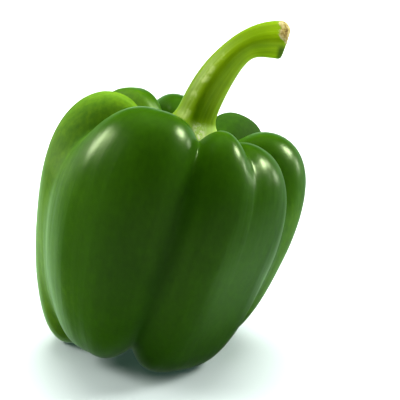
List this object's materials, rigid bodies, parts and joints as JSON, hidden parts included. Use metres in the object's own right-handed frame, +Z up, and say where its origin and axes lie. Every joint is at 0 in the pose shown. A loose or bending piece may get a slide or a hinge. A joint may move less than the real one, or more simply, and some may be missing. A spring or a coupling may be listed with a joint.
{
  "type": "bell pepper",
  "caption": "Whole green bell pepper with blocky lobes parted by furrows, standing on its feet, with a thick curved stem rising from a small calyx in the crown.",
  "frame": {"origin": "middle of the whole pepper's box, on the ground that its feet stand on", "axes": "+Z up, +X the side that the fruit leans to and the stem's cut end points to, -Y the front that the picture shows"},
  "size_m": [0.0912, 0.084, 0.1131],
  "materials": {
    "skin": "smooth waxy dark green skin, glossy",
    "stem": "fleshy yellow-green, satin, with a dry tan cut end"
  },
  "bodies": {
    "root": {"fruit": "skin", "stem": "stem"}
  },
  "joints": []
}
